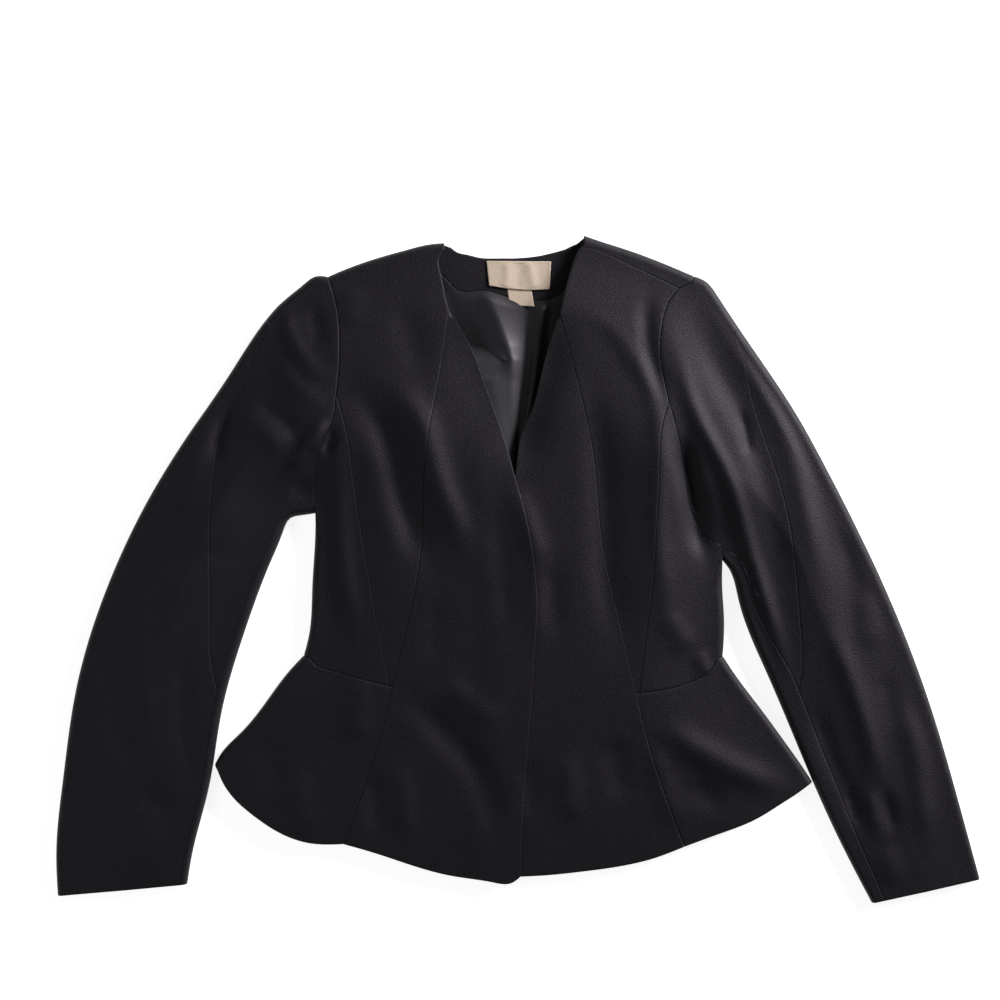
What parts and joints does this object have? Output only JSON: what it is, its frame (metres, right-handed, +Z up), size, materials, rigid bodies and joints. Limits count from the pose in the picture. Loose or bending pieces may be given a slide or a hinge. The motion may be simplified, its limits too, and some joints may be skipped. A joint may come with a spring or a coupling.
{
  "type": "peplum jacket",
  "caption": "Women's collarless peplum jacket in plain black cloth with a V neckline, princess seams and long curved sleeves, laid flat.",
  "frame": {"origin": "centre of the bounding box in plan, on the surface that the jacket lies on", "axes": "+X toward the wearer's left, +Y toward the neck, +Z up from the surface"},
  "size_m": [0.878, 0.634, 0.0304],
  "materials": {
    "outer_crepe": "matte",
    "lining_satin": "satin",
    "label_cloth": "matte"
  },
  "bodies": {
    "root": {"back_left": "outer_crepe", "back_peplum": "outer_crepe", "back_right": "outer_crepe", "front_bust_left": "outer_crepe", "front_bust_right": "outer_crepe", "front_center_left": "outer_crepe", "front_center_right": "outer_crepe", "front_side_left": "outer_crepe", "front_side_right": "outer_crepe", "lining_back": "lining_satin", "neck_facing_back": "outer_crepe", "neck_label": "label_cloth", "peplum_side_left": "outer_crepe", "peplum_side_right": "outer_crepe", "size_tag": "label_cloth", "sleeve_outer_left": "outer_crepe", "sleeve_outer_right": "outer_crepe", "sleeve_under_left": "outer_crepe", "sleeve_under_right": "outer_crepe", "sleeve_wedge_left": "outer_crepe", "sleeve_wedge_right": "outer_crepe"}
  },
  "joints": []
}
